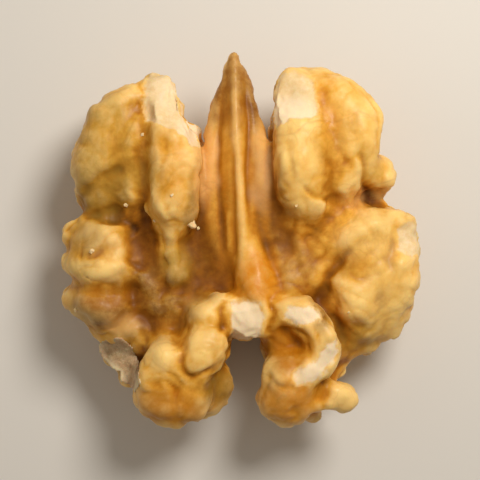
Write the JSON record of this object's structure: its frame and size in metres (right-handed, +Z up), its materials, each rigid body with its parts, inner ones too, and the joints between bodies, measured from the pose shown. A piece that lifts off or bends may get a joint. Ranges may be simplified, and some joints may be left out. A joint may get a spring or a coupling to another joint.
{
  "type": "walnut kernel half",
  "caption": "Half of a shelled walnut: wrinkled lobes joined by a bridge, with a pointed keel on the inner face, lying on its rounded back.",
  "frame": {"origin": "centre of the bounding box, at the height of the small flats that the rounded back rests on", "axes": "+Z up out of the inner face, +Y towards the keel's pointed end, +X to the right as seen from above"},
  "size_m": [0.03, 0.0312, 0.0126],
  "materials": {
    "kernel_skin": "waxy"
  },
  "bodies": {
    "root": {"walnut_kernel": "kernel_skin"}
  },
  "joints": []
}
